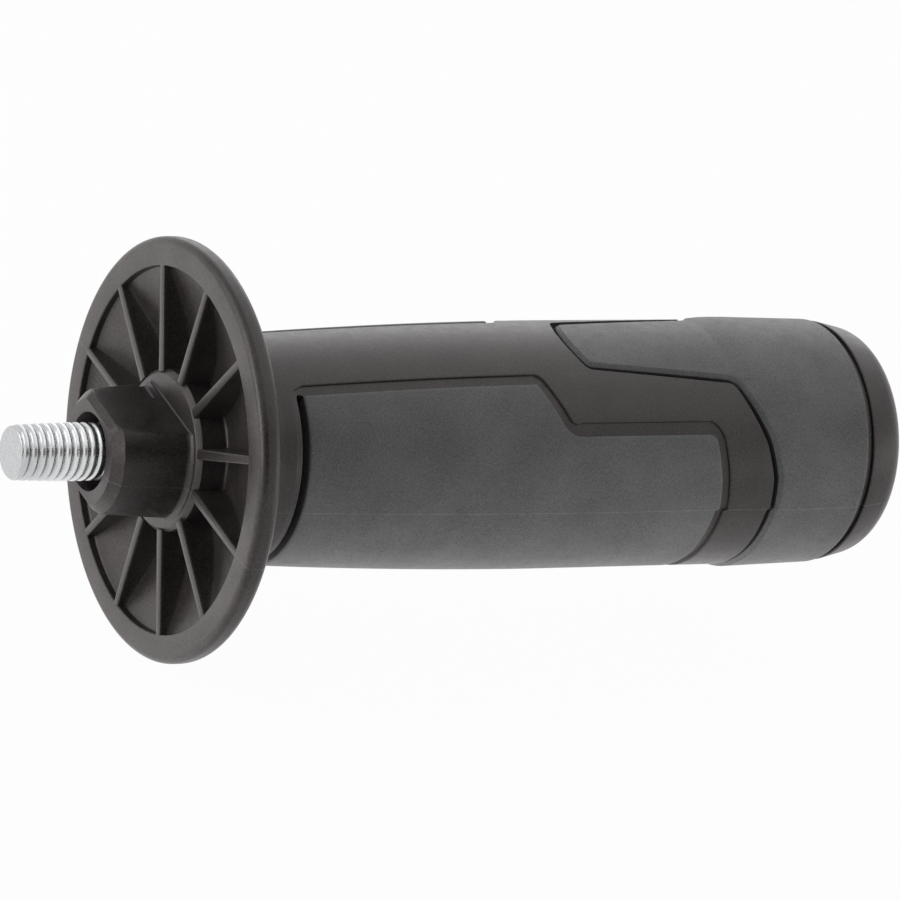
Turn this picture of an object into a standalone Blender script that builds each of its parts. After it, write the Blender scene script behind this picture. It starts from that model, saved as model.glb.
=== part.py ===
"""Screw-in side handle of a small angle grinder.

The handle lies along X. Its stud points to -X and screws into the tool, and the origin is the
middle of the boss's front face, which seats on the tool. +Z is the top of the grip, where the
black band runs. The left and right halves mirror each other across the XZ plane.

Sizes are in millimetres here and become metres in the meshes. Places along the handle are
distances from the seat, and turns round the handle are degrees from the top.
"""

import math

import bmesh
import bpy

MM = 0.001

# Clearance between two pieces that touch
FIT_GAP = 0.3

# Stud: an M8 bolt whose head is held inside the moulding
THREAD_DIAMETER = 8.0
STUD_REACH = 11.6
STUD_TIP_CHAMFER = 0.9
HEAD_ACROSS_FLATS = 13.0
HEAD_HEIGHT = 5.3
HEAD_CHAMFER = 0.5
HEAD_DEPTH = 12.0

# Boss: round with two opposite flats, seated on the tool
SEAT_HOLE_CLEARANCE = 1.35
SEAT_HOLE_DEPTH = 6.5
BOSS_WALL = 3.1
BOSS_DRAFT = 1.0
BOSS_CHAMFER = 1.2
FLAT_CHAMFER = 0.8
BOSS_FLAT_CUT = 1.7
COLLAR_FILLET = 0.7
FLAT_FOOT = 0.6
RELIEF_LENGTH = 2.4
RELIEF_OFFSET = 2.6
RELIEF_DEPTH = 1.2

# Guard flange: rim, collar and radial ribs share one front plane
FLANGE_FRONT = 11.0
FLANGE_RADIUS = 29.2
RIM_WIDTH = 4.0
RIM_LENGTH = 3.4
RIM_FRONT_ROUND = 1.5
RIM_BACK_ROUND = 1.5
COLLAR_STEP = 1.75
COLLAR_CHAMFER = 0.7
RIM_POCKET_DEPTH = 1.1
HUB_POCKET_DEPTH = 4.5
FLANGE_WALL = 2.4
NECK_FILLET = 3.2
RIB_COUNT = 12
RIB_THICKNESS = 1.35

# Grip core: a neck that swells to the palm and stays nearly straight to the heel
NECK_RADIUS = 15.85
NECK_END = 21.9
PALM_RADIUS = 17.55
PALM_PLACE = 72.0
PALM_SWELL_POWER = 1.8
HEEL_RADIUS = 17.6
HEEL_PLACE = 100.4
CAP_START = 117.0
CAP_STEP = 0.18
CAP_GROOVE = 0.6
CAP_TAPER = 12.5
CAP_LENGTH = 7.4
CAP_CORNER = 3.8
CAP_CROWN = 1.1

# Soft grip: outlines of the two grey overmoulds and how they seat
SOFT_THICKNESS = 2.0
PANEL_EDGE_ROUND = 0.4
PANEL_EDGE_DROP = 0.25
LIP_ROUND = 0.9
LIP_DROP = 0.4
PALM_FRONT_GAP = 1.1
PALM_FRONT = 25.5
PALM_BACK = 92.7
BAND_ANGLE = 27.4
BAND_REAR_ANGLE = 52.5
KINK_FRONT = 62.2
KINK_LENGTH = 5.0
KINK_ROUND = 0.5
KINK_FILLET = 3.0
PALM_BACK_ROUND = 1.6
BACK_SLANT = 1.9
SLANT_BEND = 0.45
SLANT_BEND_ANGLE = 74.0
SLANT_ROUND = 8.0
PALM_STEP = 0.6
RING_STEP = 1.0
STEP_RUN = 0.5
LEDGE_WIDTH = 1.2
LEDGE_FRONT_WIDTH = 0.8
LEDGE_DEPTH = 0.4
TONGUE_TIP = 70.7
TONGUE_TIP_ANGLE = 18.6
TONGUE_ROOT = 94.0
TONGUE_ROOT_ANGLE = 26.8
TONGUE_ROUND = 1.4
ROOT_FILLET = 5.5
SHOULDER_ANGLE = 58.0
RING_FRONT = 101.5
RING_LIP = 0.36
RING_LIP_RUN = 5.0
RING_TAIL = 0.0
GROOVE_FLARE = 0.3

# Fineness of the round faces
BODY_SEGMENTS = 60
STUD_SEGMENTS = 36
POCKET_STEPS = 4
ALONG_STEP = 7.5
SEAT_AROUND_STEP = 3.8
GRIP_AROUND_STEP = 2.6
RING_STEPS = 3
CUTTER_REACH = 0.35

BLACK_PLASTIC = (0.014, 0.013, 0.0135)
GREY_SOFT_GRIP = (0.085, 0.085, 0.087)
ZINC_STEEL = (0.72, 0.73, 0.74)


def clear_scene():
    for old in list(bpy.data.objects):
        bpy.data.objects.remove(old)


def material(name, colour, roughness, metallic=0.0):
    made = bpy.data.materials.new(name)
    made.use_nodes = True
    shader = made.node_tree.nodes["Principled BSDF"]
    shader.inputs["Base Color"].default_value = (*colour, 1.0)
    shader.inputs["Roughness"].default_value = roughness
    shader.inputs["Metallic"].default_value = metallic
    made.diffuse_color = (*colour, 1.0)
    return made


def mesh_object(name, bm, finish=None):
    """Turns the bmesh into an object whose faces point outwards."""
    bmesh.ops.recalc_face_normals(bm, faces=bm.faces)
    mesh = bpy.data.meshes.new(name)
    bm.to_mesh(mesh)
    bm.free()
    made = bpy.data.objects.new(name, mesh)
    bpy.context.scene.collection.objects.link(made)
    if finish:
        mesh.materials.append(finish)
    return made


def smooth(made, degrees):
    """Shades the faces smooth, with a sharp edge where they turn by more than this."""
    made.data.shade_smooth()
    made.data.set_sharp_from_angle(angle=math.radians(degrees))


def as_cutter(made):
    made.hide_render = True
    made.display_type = "WIRE"
    smooth(made, 25.0)
    return made


def cut(target, cutter, operation="DIFFERENCE"):
    boolean = target.modifiers.new(cutter.name, "BOOLEAN")
    boolean.operation = operation
    boolean.solver = "EXACT"
    boolean.object = as_cutter(cutter)


# Plane curves

def rounded(corners):
    """A polyline whose corners (x, y, radius, pieces) are replaced by tangent arcs."""
    points = []
    for before, here, after in zip([corners[0]] + corners, corners, corners[1:] + [corners[-1]]):
        if len(here) == 2:
            points.append(here)
            continue
        x, y, radius, pieces = here
        run_back = math.hypot(before[0] - x, before[1] - y)
        run_ahead = math.hypot(after[0] - x, after[1] - y)
        back = ((before[0] - x) / run_back, (before[1] - y) / run_back)
        ahead = ((after[0] - x) / run_ahead, (after[1] - y) / run_ahead)
        opening = math.acos(max(-1.0, min(1.0, back[0] * ahead[0] + back[1] * ahead[1])))
        reach = min(radius / math.tan(opening / 2), 0.48 * run_back, 0.48 * run_ahead)
        radius = reach * math.tan(opening / 2)
        middle = (back[0] + ahead[0], back[1] + ahead[1])
        away = radius / math.sin(opening / 2) / math.hypot(*middle)
        centre = (x + middle[0] * away, y + middle[1] * away)
        start = math.atan2(y + back[1] * reach - centre[1], x + back[0] * reach - centre[0])
        end = math.atan2(y + ahead[1] * reach - centre[1], x + ahead[0] * reach - centre[0])
        turn = (end - start + math.pi) % (2 * math.pi) - math.pi
        for i in range(pieces + 1):
            angle = start + turn * i / pieces
            points.append((centre[0] + radius * math.cos(angle), centre[1] + radius * math.sin(angle)))
    return points


def grown(curve, amount):
    """The curve moved sideways by amount, to the left of its direction."""
    moved = []
    for i, (x, y) in enumerate(curve):
        x0, y0 = curve[max(i - 1, 0)]
        x1, y1 = curve[min(i + 1, len(curve) - 1)]
        length = math.hypot(x1 - x0, y1 - y0)
        moved.append((x - (y1 - y0) / length * amount, y + (x1 - x0) / length * amount))
    return moved


def distance_to(point, curve):
    """The shortest way from a point to a polyline."""
    best = float("inf")
    for (x0, y0), (x1, y1) in zip(curve, curve[1:]):
        dx = x1 - x0
        dy = y1 - y0
        share = ((point[0] - x0) * dx + (point[1] - y0) * dy) / (dx * dx + dy * dy)
        share = max(0.0, min(1.0, share))
        best = min(best, math.hypot(x0 + share * dx - point[0], y0 + share * dy - point[1]))
    return best


def blend(a, b, share):
    return (a[0] + (b[0] - a[0]) * share, a[1] + (b[1] - a[1]) * share)


def nearest(curve, point):
    """The number of the curve's point that lies nearest to this one."""
    return min(range(len(curve)), key=lambda i: math.dist(curve[i], point))


# Solids from plane curves

def on_handle(place, radius, turn):
    """A point at this place along the handle, radius and turn from the top."""
    angle = math.radians(turn)
    return (place * MM, radius * math.sin(angle) * MM, radius * math.cos(angle) * MM)


def turned(name, profile, segments, finish=None):
    """Spins a profile of (place, radius) points that starts and ends on the handle's axis."""
    bm = bmesh.new()
    verts = [bm.verts.new(on_handle(place, radius, 0.0)) for place, radius in profile]
    edges = [bm.edges.new(pair) for pair in zip(verts, verts[1:])]
    bmesh.ops.spin(
        bm,
        geom=verts + edges,
        cent=(0, 0, 0),
        axis=(1, 0, 0),
        angle=2 * math.pi,
        steps=segments,
        use_merge=True,
    )
    bmesh.ops.remove_doubles(bm, verts=bm.verts, dist=1e-7)
    bmesh.ops.dissolve_degenerate(bm, dist=1e-8, edges=bm.edges)
    return mesh_object(name, bm, finish)


def swept(name, sections, start, end):
    """Straight bars through (x, z) sections, from one y to the other."""
    bm = bmesh.new()
    for section in sections:
        face = bm.faces.new([bm.verts.new((x * MM, start * MM, z * MM)) for x, z in section])
        made = bmesh.ops.extrude_face_region(bm, geom=[face])
        verts = [part for part in made["geom"] if isinstance(part, bmesh.types.BMVert)]
        bmesh.ops.translate(bm, verts=verts, vec=(0, (end - start) * MM, 0))
    return mesh_object(name, bm)


def layered(bm, quads, layers):
    """Closes a solid through layers of points that share one set of quads.

    The first and last layers get all their quads, and the border of each layer joins the next.
    """
    once = {}
    for quad in quads:
        for a, b in zip(quad, quad[1:] + quad[:1]):
            if (b, a) in once:
                del once[b, a]
            else:
                once[a, b] = True
    border = {place for edge in once for place in edge}
    made = []
    for depth, layer in enumerate(layers):
        whole = depth in (0, len(layers) - 1)
        made.append({i: bm.verts.new(point) for i, point in enumerate(layer) if whole or i in border})
    for skin in (made[0], made[-1]):
        for quad in quads:
            bm.faces.new([skin[i] for i in quad])
    for lower, upper in zip(made, made[1:]):
        for a, b in once:
            bm.faces.new((lower[a], lower[b], upper[b], upper[a]))


# Radii along the handle

def core_radius(place):
    """The black core's own surface, from the neck to the heel."""
    if place <= PALM_PLACE:
        share = max(0.0, (place - NECK_END) / (PALM_PLACE - NECK_END))
        return NECK_RADIUS + (PALM_RADIUS - NECK_RADIUS) * (1 - (1 - share) ** PALM_SWELL_POWER)
    share = min(1.0, (place - PALM_PLACE) / (HEEL_PLACE - PALM_PLACE))
    return PALM_RADIUS + (HEEL_RADIUS - PALM_RADIUS) * share


def sleeve_radius(place):
    """The end sleeve stands proud of the core at its front lip and falls off to the cap."""
    rise = min(1.0, max(0.0, (place - TONGUE_ROOT) / RING_LIP_RUN))
    fall = min(1.0, max(0.0, (place - RING_FRONT) / (CAP_START - RING_FRONT)))
    return core_radius(place) + RING_LIP * rise + (RING_TAIL - RING_LIP) * fall


def edge_drop(x, y, rim, run, depth):
    """How far a rounded edge takes a soft grip down at a point this near to its rim."""
    share = max(0.0, 1.0 - distance_to((x, abs(y)), rim) / run)
    return depth * (1 - math.sqrt(1 - share * share))


# Outlines of the soft grip on the core unrolled at the palm radius: (place, arc from the top)

def arc_of(turn):
    return math.radians(turn) * PALM_RADIUS


def palm_corner():
    return (PALM_BACK - BACK_SLANT, arc_of(BAND_REAR_ANGLE))


def palm_edge():
    """Runs along the black band, down the kink and round the rear corner to the underside.

    The mould's halves meet at a quarter turn, where the back edge takes a small step.
    """
    front = arc_of(BAND_ANGLE)
    rear = arc_of(BAND_REAR_ANGLE)
    return rounded([
        (PALM_FRONT, front),
        (KINK_FRONT, front, KINK_ROUND, 3),
        (KINK_FRONT + KINK_LENGTH, rear, KINK_FILLET, 3),
        (*palm_corner(), PALM_BACK_ROUND, 4),
        (PALM_BACK - SLANT_BEND, arc_of(SLANT_BEND_ANGLE), SLANT_ROUND, 2),
        (PALM_BACK, arc_of(90.0)),
        (PALM_BACK - PALM_STEP, arc_of(90.0) + STEP_RUN),
        (PALM_BACK - PALM_STEP, arc_of(180.0)),
    ])


def tongue_root():
    return (TONGUE_ROOT, arc_of(TONGUE_ROOT_ANGLE))


def tongue_corner():
    return (TONGUE_TIP, arc_of(TONGUE_TIP_ANGLE))


def sleeve_edge():
    """Runs along the ring's front from the underside, then out along the tongue to its tip."""
    return rounded([
        (RING_FRONT - RING_STEP, arc_of(180.0)),
        (RING_FRONT - RING_STEP, arc_of(90.0) + STEP_RUN),
        (RING_FRONT, arc_of(90.0)),
        (RING_FRONT - SLANT_BEND, arc_of(SLANT_BEND_ANGLE), SLANT_ROUND, 2),
        (RING_FRONT - BACK_SLANT, arc_of(SHOULDER_ANGLE), SLANT_ROUND, 3),
        (*tongue_root(), ROOT_FILLET, 4),
        (*tongue_corner(), TONGUE_ROUND, 4),
        (TONGUE_TIP, 0.0),
    ])


def refined(curve, marks, around_step):
    """The curve in even short pieces, and where the points at marks now lie in it."""
    points = []
    placed = []
    for i, (a, b) in enumerate(zip(curve, curve[1:])):
        if i in marks:
            placed.append(len(points))
        step = ALONG_STEP if abs(b[0] - a[0]) > abs(b[1] - a[1]) else around_step
        pieces = math.ceil(math.hypot(b[0] - a[0], b[1] - a[1]) / step - 1e-6)
        points += [blend(a, b, k / pieces) for k in range(pieces)]
    return points + [curve[-1]], placed


def sides_of(curve):
    """The direction square to the curve, to its left, at each of its points."""
    return [(x1 - x0, y1 - y0) for (x0, y0), (x1, y1) in zip(curve, grown(curve, 1.0))]


def corner_rows(edge, sides, corner, fine):
    """Rows of points for a patch whose border runs along edge to a corner, then on to its foot.

    Row i starts at point i of the edge, and the last row is the border after the corner.
    fine gives how far the outermost points lie from the border.
    """
    depth = len(fine)
    foot = edge[-1][1]
    start = edge[corner + depth - 1][1]
    rows = []
    for i in range(corner + 1):
        away = corner - i
        row = []
        for j in range(len(edge) - corner):
            x, y = edge[i]
            inset = fine[min(j, depth - 1)] / sides[i][1]
            if j == away < depth:
                x, y = edge[corner]
                x += sides[corner][0] * fine[j]
                y += sides[corner][1] * fine[j]
            elif away < min(j, depth):
                x, y = edge[corner + j]
                x += fine[away] / sides[corner + j][0]
            elif j < depth:
                y += inset
            else:
                share = (edge[corner + j][1] - start) / (foot - start)
                y = y + inset + (foot - y - inset) * share
            row.append((x, y))
        rows.append(row)
    return rows


def grid_quads(names):
    """The quads between neighbouring rows of point numbers."""
    quads = []
    for row, following in zip(names, names[1:]):
        for j in range(len(row) - 1):
            quads.append((row[j], row[j + 1], following[j + 1], following[j]))
    return quads


def numbered(points, row):
    """Adds a row to the points and gives the numbers of its points."""
    start = len(points)
    points += row
    return list(range(start, len(points)))


def palm_skin(out, out_front, fine, around_step):
    """Points and quads that fill the palm outline, grown by out, and by out_front at its front.

    Rows run from the black band round the underside to the band's other side.
    """
    curve = palm_edge()
    curve = [(PALM_FRONT + inset, curve[0][1]) for inset in fine] + curve[1:]
    curve, (corner,) = refined(curve, [nearest(curve, palm_corner())], around_step)
    edge = grown(curve, -out)
    rows = corner_rows(edge, sides_of(edge), corner, fine)
    rows[0] = [(PALM_FRONT - out_front, y) for _, y in rows[0]]
    points = []
    names = [numbered(points, [(x, -y) for x, y in row] + row[-2::-1]) for row in rows]
    return points, grid_quads(names)


def sleeve_skin(out, fine, around_step):
    """Points and quads that fill the sleeve outline, its front grown by out.

    The ring runs all round the handle, and the tongue joins its front row at the top.
    """
    curve = sleeve_edge()
    marks = [nearest(curve, tongue_root()), nearest(curve, tongue_corner())]
    curve, (root, corner) = refined(curve, marks, around_step)
    edge = grown(curve, -out)
    sides = sides_of(edge)
    tongue = corner_rows(edge[root:], [(0.0, -1.0)] + sides[root + 1:], corner - root, fine)
    width = len(tongue[0]) - 1
    end = CAP_START if out else CAP_START - CAP_GROOVE
    rows = []
    for inset in fine:
        row = [(x + inset, y) for x, y in tongue[0][::-1]]
        row += [(edge[i][0] + inset / sides[i][0], edge[i][1]) for i in range(root - 1, -1, -1)]
        rows.append(row)
    tail = [[(end - inset, y) for _, y in row] for inset in reversed(fine)]
    for k in range(1, RING_STEPS):
        rows.append([blend(a, b, k / RING_STEPS) for a, b in zip(rows[len(fine) - 1], tail[0])])
    rows += tail
    points = []
    ring = []
    for row in rows:
        round_row = [row[-1]] + [(x, -y) for x, y in row[-2:0:-1]] + row[:-1]
        numbers = numbered(points, round_row)
        ring.append(numbers + numbers[:1])
    names = [numbered(points, [(x, -y) for x, y in row] + row[-2::-1]) for row in tongue[:0:-1]]
    top = len(rows[0]) - 1
    names.append(ring[0][top - width:top + width + 1])
    return points, grid_quads(names) + grid_quads(ring)


def wrapped(points, radius_at):
    """Rolls unrolled points onto the handle. radius_at takes a place and an arc from the top."""
    return [on_handle(x, radius_at(x, y), math.degrees(y / PALM_RADIUS)) for x, y in points]


# Pieces

def boss_radius():
    return THREAD_DIAMETER / 2 + SEAT_HOLE_CLEARANCE + BOSS_WALL


def collar_radius():
    return boss_radius() + BOSS_DRAFT + COLLAR_STEP


def recess_radius():
    return FLANGE_RADIUS - RIM_WIDTH


def pocket_floor(radius):
    """The pockets deepen from the rim to the collar along a dished cone."""
    share = (recess_radius() - radius) / (recess_radius() - collar_radius())
    return FLANGE_FRONT + RIM_POCKET_DEPTH + (HUB_POCKET_DEPTH - RIM_POCKET_DEPTH) * math.sin(share * math.pi / 2)


def pocket_half_turn(radius):
    """Half the turn between two ribs' flat faces at this radius."""
    return 180.0 / RIB_COUNT - math.degrees(math.asin(RIB_THICKNESS / 2 / radius))


def body_profile():
    boss = boss_radius()
    hub = FLANGE_FRONT + HUB_POCKET_DEPTH + FLANGE_WALL
    points = rounded([
        (0.0, 0.0),
        (0.0, boss - BOSS_CHAMFER),
        (BOSS_CHAMFER, boss),
        (FLANGE_FRONT, boss + BOSS_DRAFT, COLLAR_FILLET, 3),
        (FLANGE_FRONT, FLANGE_RADIUS, RIM_FRONT_ROUND, 4),
        (FLANGE_FRONT + RIM_LENGTH, FLANGE_RADIUS, RIM_BACK_ROUND, 4),
        (FLANGE_FRONT + RIM_LENGTH, recess_radius()),
        (hub, NECK_RADIUS, NECK_FILLET, 4),
        (NECK_END, NECK_RADIUS),
    ])
    places = [NECK_END + (PALM_PLACE - NECK_END) * i / 6 for i in range(1, 7)]
    places += [PALM_PLACE + (HEEL_PLACE - PALM_PLACE) * i / 2 for i in range(1, 3)]
    points += [(place, core_radius(place)) for place in places]
    end = CAP_START + CAP_LENGTH
    shoulder = end - CAP_CROWN
    start = HEEL_RADIUS - CAP_STEP
    drop = math.tan(math.radians(CAP_TAPER)) * (shoulder - CAP_START)
    return points + rounded([
        (CAP_START - CAP_GROOVE, HEEL_RADIUS),
        (CAP_START, start),
        (shoulder, start - drop, CAP_CORNER, 5),
        (end, 0.0),
    ])


def flat_distance():
    return boss_radius() - BOSS_FLAT_CUT


def flats_cutter():
    """Two blocks that leave parallel flats on the boss, with a sloped foot at the collar."""
    near = flat_distance()
    reach = boss_radius() + BOSS_DRAFT + 1.0
    foot = FLANGE_FRONT - 0.1
    section = [
        (-1.0, near),
        (foot - FLAT_FOOT, near + 0.1),
        (foot, near + 0.1 + FLAT_FOOT),
        (foot, reach),
        (-1.0, reach),
    ]
    return swept("boss_flats_cutter", [section, [(x, -z) for x, z in section]], -reach, reach)


def flat_chamfer_cutter():
    """Two wedges that carry the front chamfer across the flats."""
    near = flat_distance()
    reach = boss_radius() + 1.0
    section = [
        (-1.0, near - FLAT_CHAMFER - 1.0),
        (FLAT_CHAMFER + 1.0, near + 1.0),
        (-1.0, near + 1.0),
    ]
    return swept("flat_chamfer_cutter", [section, [(x, -z) for x, z in section]], -reach, reach)


def relief_cutter():
    """A small moulding relief at the foot of the upper flat, beside the collar."""
    low = flat_distance() - RELIEF_DEPTH
    high = collar_radius()
    start = FLANGE_FRONT - RELIEF_LENGTH - 0.6
    end = FLANGE_FRONT - 0.4
    section = [(start, low), (end, low), (end, high), (start, high)]
    return swept("boss_relief_cutter", [section], RELIEF_OFFSET, high)


def pockets_cutter():
    """The spaces between neighbouring ribs, from the collar to the rim."""
    bm = bmesh.new()
    pitch = 360.0 / RIB_COUNT
    inner = collar_radius()
    outer = recess_radius()
    count = POCKET_STEPS + 1
    numbers = [list(range(i * count, (i + 1) * count)) for i in range(count)]
    for rib in range(RIB_COUNT):
        middle = (rib + 0.5) * pitch
        floor = []
        ledge = []
        mouth = []
        for i in range(count):
            radius = inner + (outer - inner) * i / POCKET_STEPS
            opened = radius if i else radius - COLLAR_CHAMFER - 1.0
            for j in range(count):
                share = 2 * j / POCKET_STEPS - 1
                turn = middle + share * pocket_half_turn(radius)
                floor.append(on_handle(pocket_floor(radius), radius, turn))
                ledge.append(on_handle(FLANGE_FRONT + COLLAR_CHAMFER, radius, turn))
                turn = middle + share * pocket_half_turn(opened)
                mouth.append(on_handle(FLANGE_FRONT - 1.0, opened, turn))
        layered(bm, grid_quads(numbers), [floor, ledge, mouth])
    return mesh_object("flange_pockets_cutter", bm)


def bore_cutter():
    """The clearance hole in the seat and the snug bore for the stud behind it."""
    shank = THREAD_DIAMETER / 2
    wide = shank + SEAT_HOLE_CLEARANCE
    snug = shank + FIT_GAP
    profile = [
        (-1.0, 0.0),
        (-1.0, wide),
        (SEAT_HOLE_DEPTH, wide),
        (SEAT_HOLE_DEPTH, snug),
        (HEAD_DEPTH + 1.0, snug),
        (HEAD_DEPTH + 1.0, 0.0),
    ]
    return turned("stud_bore_cutter", profile, STUD_SEGMENTS)


def hexagon(name, start, end, across_flats, chamfer=0.0, finish=None):
    """A hexagonal prism along the handle, its chamfered face at start."""
    bm = bmesh.new()
    radius = across_flats / 2 / math.cos(math.radians(30.0))
    stations = [(start, radius - chamfer), (start + chamfer * 0.6, radius), (end, radius)]
    if not chamfer:
        stations = stations[1:]
    loops = []
    for place, size in stations:
        loops.append([bm.verts.new(on_handle(place, size, 60.0 * i)) for i in range(6)])
    for lower, upper in zip(loops, loops[1:]):
        for i in range(6):
            bm.faces.new((lower[i], lower[i - 1], upper[i - 1], upper[i]))
    bm.faces.new(loops[0])
    bm.faces.new(loops[-1][::-1])
    return mesh_object(name, bm, finish)


def flared(width):
    """How far a ledge of this width opens where the cutter leaves the surface."""
    return width * (LEDGE_DEPTH + CUTTER_REACH) / LEDGE_DEPTH


def palm_recess_cutter():
    """The palm panel's shape, grown by the gap, with a flat ledge that runs round its mouth."""
    foot, quads = palm_skin(FIT_GAP, PALM_FRONT_GAP, (0.0,), SEAT_AROUND_STEP)
    outside = PALM_FRONT_GAP + LEDGE_FRONT_WIDTH
    mouth, _ = palm_skin(FIT_GAP + LEDGE_WIDTH, outside, (0.0,), SEAT_AROUND_STEP)
    bm = bmesh.new()
    layered(bm, quads, [
        wrapped(foot, lambda x, y: core_radius(x) - SOFT_THICKNESS - FIT_GAP),
        wrapped(foot, lambda x, y: core_radius(x) - LEDGE_DEPTH),
        wrapped(mouth, lambda x, y: core_radius(x) - LEDGE_DEPTH),
        wrapped(mouth, lambda x, y: core_radius(x) + CUTTER_REACH),
    ])
    return mesh_object("palm_recess_cutter", bm)


def sleeve_recess_cutter():
    """The end sleeve's shape, grown by the gap, with a narrow flare along its front edge."""
    foot, quads = sleeve_skin(FIT_GAP, (0.0,), SEAT_AROUND_STEP)
    mouth, _ = sleeve_skin(FIT_GAP + flared(GROOVE_FLARE), (0.0,), SEAT_AROUND_STEP)
    bm = bmesh.new()
    layered(bm, quads, [
        wrapped(foot, lambda x, y: core_radius(x) - SOFT_THICKNESS - FIT_GAP),
        wrapped(foot, lambda x, y: core_radius(x) - LEDGE_DEPTH),
        wrapped(mouth, lambda x, y: sleeve_radius(x) + CUTTER_REACH),
    ])
    return mesh_object("sleeve_recess_cutter", bm)


def make_body(finish):
    body = turned("handle_body", body_profile(), BODY_SEGMENTS, finish)
    cut(body, flats_cutter())
    cut(body, flat_chamfer_cutter())
    cut(body, relief_cutter())
    cut(body, pockets_cutter())
    cut(body, bore_cutter())
    head_space = hexagon(
        "stud_head_cutter",
        HEAD_DEPTH - FIT_GAP,
        HEAD_DEPTH + HEAD_HEIGHT + FIT_GAP,
        HEAD_ACROSS_FLATS + 2 * FIT_GAP,
    )
    cut(body, head_space)
    cut(body, palm_recess_cutter())
    cut(body, sleeve_recess_cutter())
    smooth(body, 25.0)
    return body


def make_stud(finish):
    shank = THREAD_DIAMETER / 2
    profile = [
        (-STUD_REACH, 0.0),
        (-STUD_REACH, shank - STUD_TIP_CHAMFER),
        (-STUD_REACH + STUD_TIP_CHAMFER, shank),
        (HEAD_DEPTH + HEAD_HEIGHT / 2, shank),
        (HEAD_DEPTH + HEAD_HEIGHT / 2, 0.0),
    ]
    stud = turned("threaded_stud", profile, STUD_SEGMENTS, finish)
    head = hexagon(
        "stud_head_former",
        HEAD_DEPTH,
        HEAD_DEPTH + HEAD_HEIGHT,
        HEAD_ACROSS_FLATS,
        HEAD_CHAMFER,
        finish,
    )
    cut(stud, head, "UNION")
    smooth(stud, 30.0)
    return stud


def soft_piece(name, points, quads, surface, finish):
    """A soft overmould between the recess floor and its surface, a radius at (x, y)."""
    bm = bmesh.new()
    layered(bm, quads, [
        wrapped(points, lambda x, y: core_radius(x) - SOFT_THICKNESS),
        wrapped(points, surface),
    ])
    made = mesh_object(name, bm, finish)
    smooth(made, 40.0)
    return made


def make_palm_panel(finish):
    """The saddle round the underside, its surface flush with the black band."""
    fine = (0.0, PANEL_EDGE_ROUND * 0.35, PANEL_EDGE_ROUND)
    points, quads = palm_skin(0.0, 0.0, fine, GRIP_AROUND_STEP)
    rim = [(PALM_FRONT, arc_of(180.0))] + palm_edge()

    def surface(x, y):
        return core_radius(x) - edge_drop(x, y, rim, PANEL_EDGE_ROUND, PANEL_EDGE_DROP)

    return soft_piece("palm_grip_panel", points, quads, surface, finish)


def make_sleeve(finish):
    """The ring and its tongue, with a full round lip in front and a crisp edge at the cap."""
    points, quads = sleeve_skin(0.0, (0.0, LIP_ROUND * 0.35, LIP_ROUND), GRIP_AROUND_STEP)
    lip = sleeve_edge()
    tail = [(CAP_START - CAP_GROOVE, 0.0), (CAP_START - CAP_GROOVE, arc_of(180.0))]

    def surface(x, y):
        front_drop = edge_drop(x, y, lip, LIP_ROUND, LIP_DROP)
        return sleeve_radius(x) - max(front_drop, edge_drop(x, y, tail, PANEL_EDGE_ROUND, PANEL_EDGE_DROP))

    return soft_piece("end_grip_sleeve", points, quads, surface, finish)


def main():
    clear_scene()
    black = material("black_plastic", BLACK_PLASTIC, 0.5)
    grey = material("grey_soft_grip", GREY_SOFT_GRIP, 0.75)
    zinc = material("zinc_steel", ZINC_STEEL, 0.3, 1.0)
    frame = bpy.data.objects.new("side_handle", None)
    bpy.context.scene.collection.objects.link(frame)
    for piece in (make_body(black), make_stud(zinc), make_palm_panel(grey), make_sleeve(grey)):
        piece.parent = frame


main()
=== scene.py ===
"""The looks of a screw-in side handle for a small angle grinder.

The black moulding is made in six pieces: the boss, the guard flange, its ribs, the grip core,
the core's floor below the soft grips, and the end cap. The two grey soft grips and the zinc-plated
stud with its thread are pieces of their own. Sizes are in millimetres here and become metres in
the meshes. Places along the handle are distances from the seat, and turns round it are degrees
from the top of the grip.
"""

import math
from functools import partial

import bmesh
import bpy
from mathutils import Matrix, Vector


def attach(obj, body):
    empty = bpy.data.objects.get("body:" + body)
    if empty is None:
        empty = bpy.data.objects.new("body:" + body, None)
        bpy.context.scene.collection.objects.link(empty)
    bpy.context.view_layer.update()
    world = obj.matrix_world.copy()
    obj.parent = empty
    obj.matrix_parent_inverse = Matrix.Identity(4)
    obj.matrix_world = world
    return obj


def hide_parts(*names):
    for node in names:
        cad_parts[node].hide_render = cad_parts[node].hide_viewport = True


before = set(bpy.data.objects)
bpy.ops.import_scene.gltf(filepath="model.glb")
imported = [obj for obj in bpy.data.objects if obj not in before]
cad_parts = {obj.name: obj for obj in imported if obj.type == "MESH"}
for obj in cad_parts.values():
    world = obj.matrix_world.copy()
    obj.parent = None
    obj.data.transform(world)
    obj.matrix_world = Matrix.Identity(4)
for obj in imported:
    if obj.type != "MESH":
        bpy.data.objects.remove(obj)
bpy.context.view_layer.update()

MM = 0.001

# Stud
THREAD_DIAMETER = 8.0
THREAD_PITCH = 1.25
THREAD_DEPTH = 0.27
THREAD_ROOT_POWER = 2.2
THREAD_LEAD = 7.0
THREAD_LEAD_DROP = 0.26
STUD_REACH = 11.6
STUD_TIP_CHAMFER = 0.55
STUD_SHOWN = 18.8
STUD_ROWS = 240
STUD_COLUMNS = 73

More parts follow.
